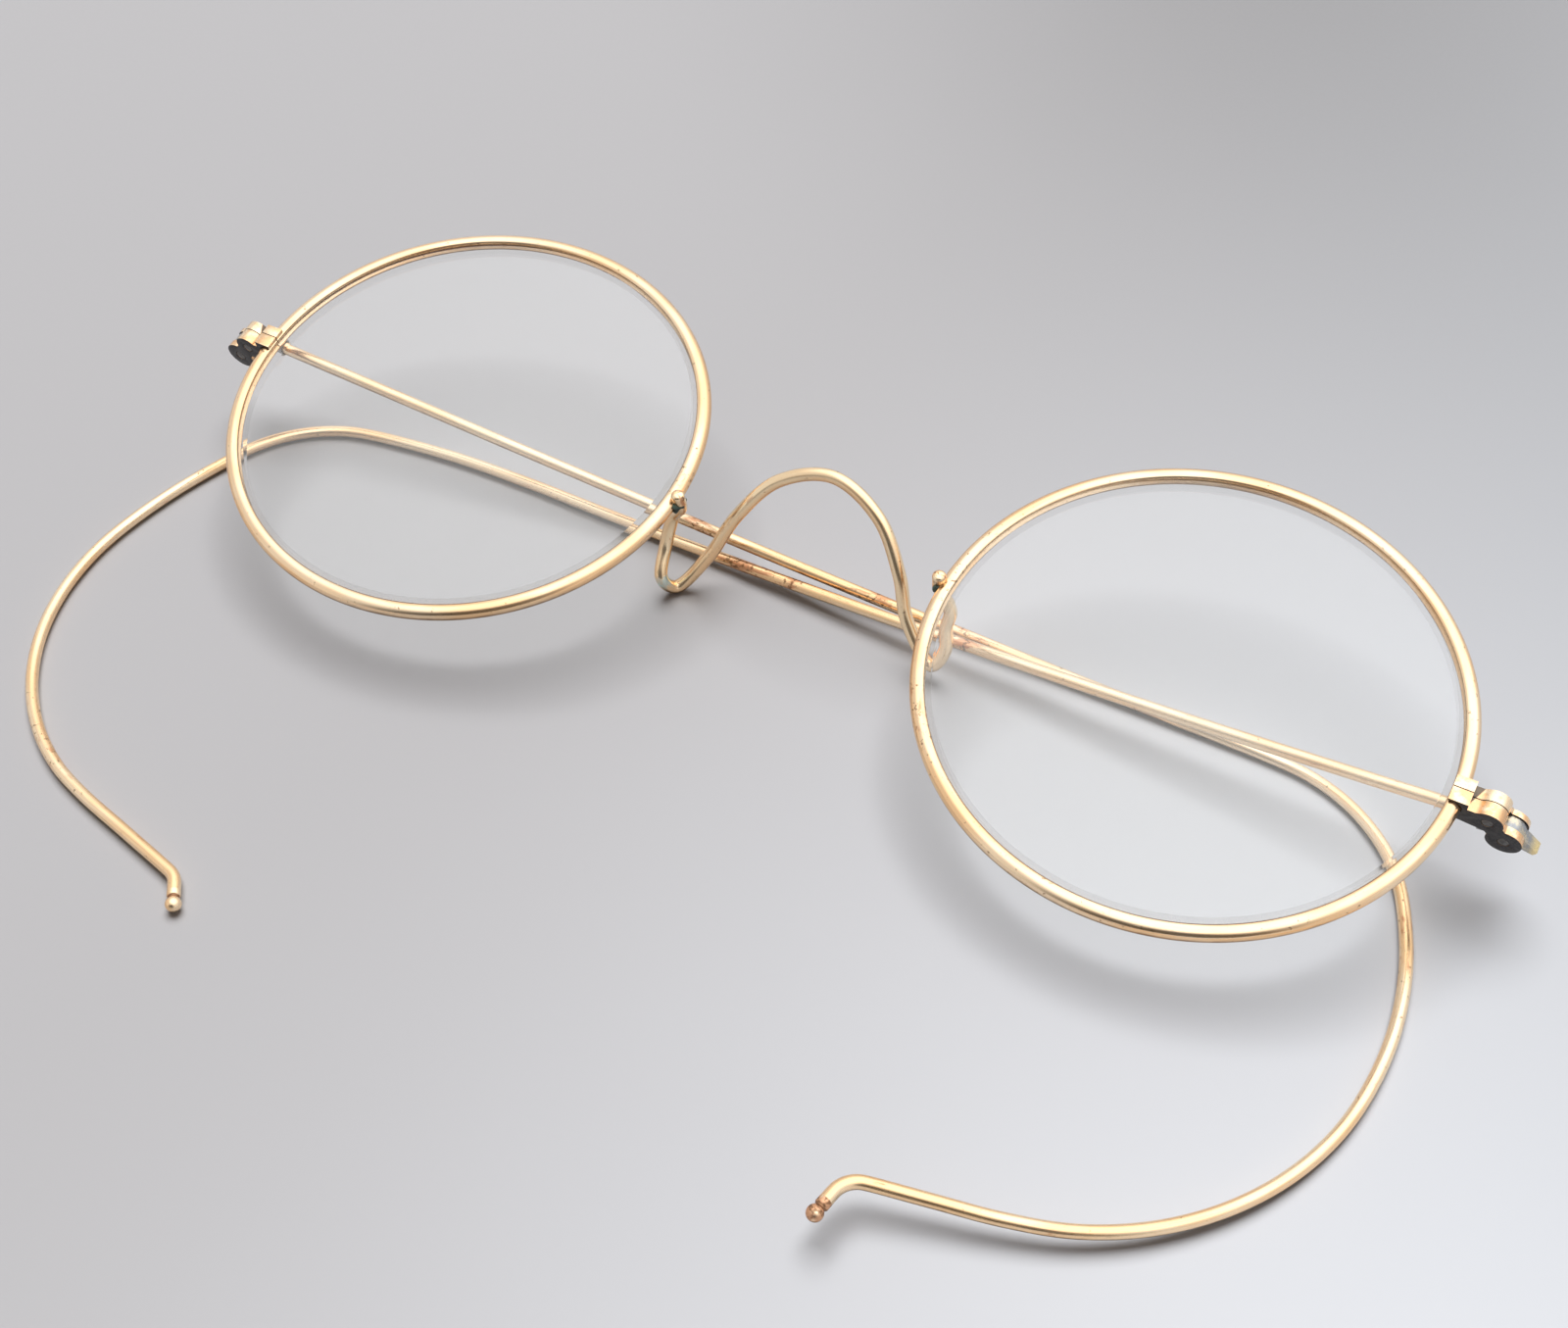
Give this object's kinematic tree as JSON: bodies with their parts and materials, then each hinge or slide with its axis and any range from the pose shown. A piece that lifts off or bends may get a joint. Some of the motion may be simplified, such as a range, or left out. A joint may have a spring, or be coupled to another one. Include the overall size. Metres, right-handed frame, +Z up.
{
  "type": "wire-rim eyeglasses",
  "caption": "Round gold wire-rim spectacles with a looped saddle bridge, split screwed endpieces and hinged wire sides with ear hooks, folded with the front up.",
  "frame": {"origin": "middle of the footprint of the folded spectacles, on the table that they lie on", "axes": "+X to the right as seen from the front, along the front; +Y along the table towards the top of the lenses as worn; +Z up from the table. The lens plane leans 12 degrees from the table, with the top of the lenses up"},
  "size_m": [0.116, 0.067, 0.0141],
  "materials": {
    "front_gold": "polished gold-filled wire",
    "endpiece_gold": "worn gold with dark patina underneath",
    "side_gold": "worn gold-filled spring wire",
    "joint_metal": "tarnished",
    "screw_steel": "dark, slotted",
    "lens_glass": "clear"
  },
  "bodies": {
    "front": {"bridge": "front_gold", "right_eye_wire": "front_gold", "right_lens": "lens_glass", "right_upper_endpiece": "endpiece_gold", "right_lower_endpiece": "endpiece_gold", "right_rim_screw": "screw_steel", "right_hinge_screw": "screw_steel", "left_eye_wire": "front_gold", "left_lens": "lens_glass", "left_upper_endpiece": "endpiece_gold", "left_lower_endpiece": "endpiece_gold", "left_rim_screw": "screw_steel", "left_hinge_screw": "screw_steel"},
    "left_side": {"left_side_joint": "joint_metal", "left_side_wire": "side_gold", "left_ball_end": "side_gold"},
    "right_side": {"right_side_joint": "joint_metal", "right_side_wire": "side_gold", "right_ball_end": "side_gold"}
  },
  "joints": [
    {"name": "left_temple_fold", "type": "hinge", "parent": "front", "child": "left_side", "pos_m": [-0.05608, 0.01459, 0.0074], "axis": [0, 0.9781, 0.2079], "range_deg": [0, 90]},
    {"name": "right_temple_fold", "type": "hinge", "parent": "front", "child": "right_side", "pos_m": [0.05556, 0.0143, 0.00734], "axis": [0, -0.9781, -0.2079], "range_deg": [0, 90]}
  ],
  "couplings": [
    {"joint": "right_temple_fold", "follows": "left_temple_fold", "ratio": 1}
  ]
}
